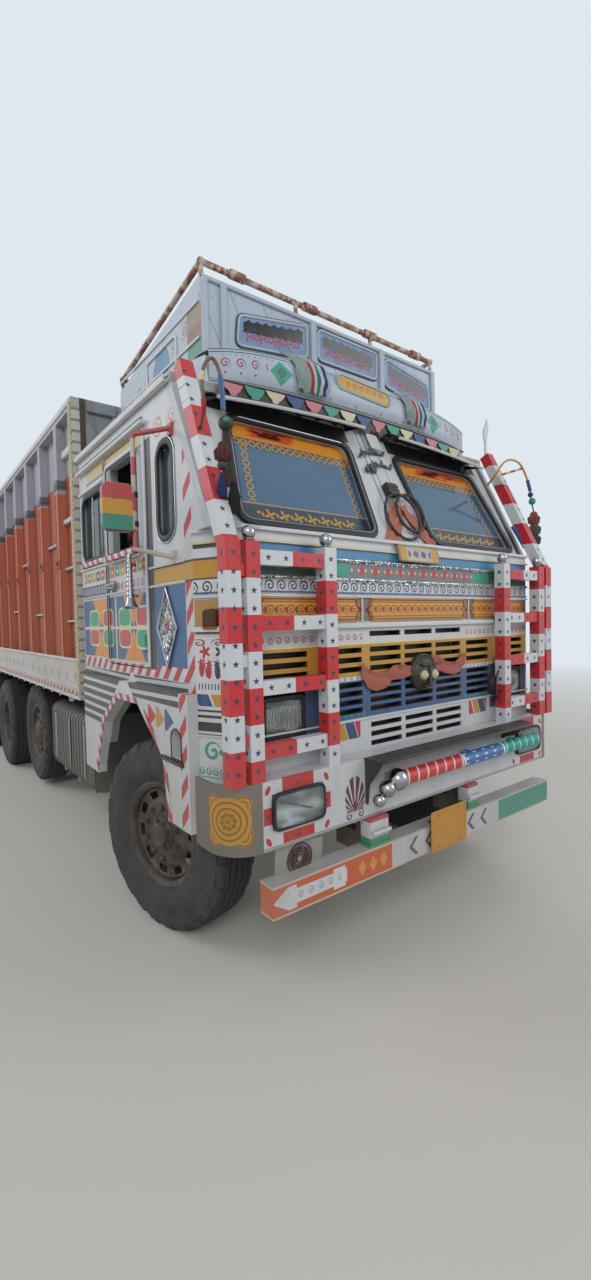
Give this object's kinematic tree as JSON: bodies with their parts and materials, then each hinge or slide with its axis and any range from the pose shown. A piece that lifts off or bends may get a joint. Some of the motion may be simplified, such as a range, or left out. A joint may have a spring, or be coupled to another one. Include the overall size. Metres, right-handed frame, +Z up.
{
  "type": "decorated goods truck",
  "caption": "Tall-sided forward-control goods truck with a painted, decorated coach-built cab, lift axle, tandem rear axles and a drop tailgate.",
  "frame": {"origin": "on the ground, under the middle of the truck's overall length and width", "axes": "+Z up, the front of the truck faces -Y, its right-hand (driver's) side is -X"},
  "size_m": [3.01, 8.9358, 3.526],
  "materials": {
    "frame_steel": "matt black chassis paint",
    "cab_paint": "gloss white with painted ornament",
    "glass": "tinted safety glass",
    "tyre": "dusty black rubber",
    "rim": "dusty dark steel",
    "guard_paint": "red and white enamel",
    "bare_steel": "polished sheet",
    "lamp": "clear lens",
    "load_paint": "orange-red enamel, worn",
    "tank_paint": "grey paint",
    "timber": "worn planks",
    "seat_cover": "cloth cover",
    "dash_trim": "dark moulded trim",
    "mirror_paint": "striped enamel back",
    "rubber": "black rubber"
  },
  "bodies": {
    "chassis": {"chassis_rails": "frame_steel", "cross_members": "frame_steel", "front_axle": "frame_steel", "lift_axle": "frame_steel", "rear_axles": "frame_steel", "leaf_springs": "frame_steel", "propeller_shaft": "frame_steel", "engine_block": "frame_steel", "fuel_tank": "tank_paint", "air_tanks": "tank_paint", "cab_floor": "cab_paint", "cab_front_panel": "cab_paint", "cab_side_right": "cab_paint", "cab_side_left": "cab_paint", "cab_rear_wall": "cab_paint", "cab_roof": "cab_paint", "crown_box": "cab_paint", "windscreen_frame": "cab_paint", "windscreens": "glass", "sun_visor": "cab_paint", "roof_rack": "guard_paint", "seats": "seat_cover", "dashboard": "dash_trim", "steering_wheel": "dash_trim", "front_lamps": "lamp", "bumper": "cab_paint", "bumper_ends": "bare_steel", "bumper_roller": "guard_paint", "lower_bar": "guard_paint", "front_guards": "guard_paint", "mirrors": "mirror_paint", "load_floor": "timber", "load_bearers": "frame_steel", "load_side_right": "load_paint", "load_side_left": "load_paint", "load_front_wall": "load_paint", "rear_header": "load_paint", "rear_bumper": "guard_paint", "mud_flaps": "rubber"},
    "tailgate": {"tailgate": "load_paint"},
    "door_right": {"door_right": "cab_paint"},
    "door_left": {"door_left": "cab_paint"},
    "steer_right": {"knuckle_right": "frame_steel"},
    "steer_left": {"knuckle_left": "frame_steel"},
    "wheel_front_right": {"tyre_front_right": "tyre", "rim_front_right": "rim"},
    "wheel_front_left": {"tyre_front_left": "tyre", "rim_front_left": "rim"},
    "wheel_lift_right": {"tyre_lift_right": "tyre", "rim_lift_right": "rim"},
    "wheel_lift_left": {"tyre_lift_left": "tyre", "rim_lift_left": "rim"},
    "wheel_mid_right": {"tyres_mid_right": "tyre", "rims_mid_right": "rim"},
    "wheel_mid_left": {"tyres_mid_left": "tyre", "rims_mid_left": "rim"},
    "wheel_rear_right": {"tyres_rear_right": "tyre", "rims_rear_right": "rim"},
    "wheel_rear_left": {"tyres_rear_left": "tyre", "rims_rear_left": "rim"}
  },
  "joints": [
    {"name": "door_right_hinge", "type": "hinge", "parent": "chassis", "child": "door_right", "pos_m": [-1.21, -3.479, 1.76], "axis": [0, 0, 1], "range_deg": [0, 75]},
    {"name": "door_left_hinge", "type": "hinge", "parent": "chassis", "child": "door_left", "pos_m": [1.21, -3.479, 1.76], "axis": [0, 0, -1], "range_deg": [0, 75]},
    {"name": "tailgate_hinge", "type": "hinge", "parent": "chassis", "child": "tailgate", "pos_m": [0, 4.453, 1.175], "axis": [-1, 0, 0], "range_deg": [0, 170]},
    {"name": "steer_right_pivot", "type": "hinge", "parent": "chassis", "child": "steer_right", "pos_m": [-0.875, -3.317, 0.515], "axis": [0, 0, 1], "range_deg": [-47.5, 21.5]},
    {"name": "steer_left_pivot", "type": "hinge", "parent": "chassis", "child": "steer_left", "pos_m": [0.875, -3.317, 0.515], "axis": [0, 0, 1], "range_deg": [-47.5, 21.5]},
    {"name": "wheel_front_right_spin", "type": "hinge", "parent": "steer_right", "child": "wheel_front_right", "pos_m": [-1.02086, -3.35202, 0.515], "axis": [0.9724, 0.2334, 0], "continuous": true},
    {"name": "wheel_front_left_spin", "type": "hinge", "parent": "steer_left", "child": "wheel_front_left", "pos_m": [1.02086, -3.28198, 0.515], "axis": [0.9724, 0.2334, 0], "continuous": true},
    {"name": "wheel_lift_right_spin", "type": "hinge", "parent": "chassis", "child": "wheel_lift_right", "pos_m": [-0.955, -0.027, 0.565], "axis": [1, 0, 0], "continuous": true},
    {"name": "wheel_lift_left_spin", "type": "hinge", "parent": "chassis", "child": "wheel_lift_left", "pos_m": [0.955, -0.027, 0.565], "axis": [1, 0, 0], "continuous": true},
    {"name": "wheel_mid_right_spin", "type": "hinge", "parent": "chassis", "child": "wheel_mid_right", "pos_m": [-0.905, 1.133, 0.515], "axis": [1, 0, 0], "continuous": true},
    {"name": "wheel_mid_left_spin", "type": "hinge", "parent": "chassis", "child": "wheel_mid_left", "pos_m": [0.905, 1.133, 0.515], "axis": [1, 0, 0], "continuous": true},
    {"name": "wheel_rear_right_spin", "type": "hinge", "parent": "chassis", "child": "wheel_rear_right", "pos_m": [-0.905, 2.503, 0.515], "axis": [1, 0, 0], "continuous": true},
    {"name": "wheel_rear_left_spin", "type": "hinge", "parent": "chassis", "child": "wheel_rear_left", "pos_m": [0.905, 2.503, 0.515], "axis": [1, 0, 0], "continuous": true}
  ],
  "couplings": [
    {"joint": "steer_left_pivot", "follows": "steer_right_pivot", "ratio": 1}
  ]
}
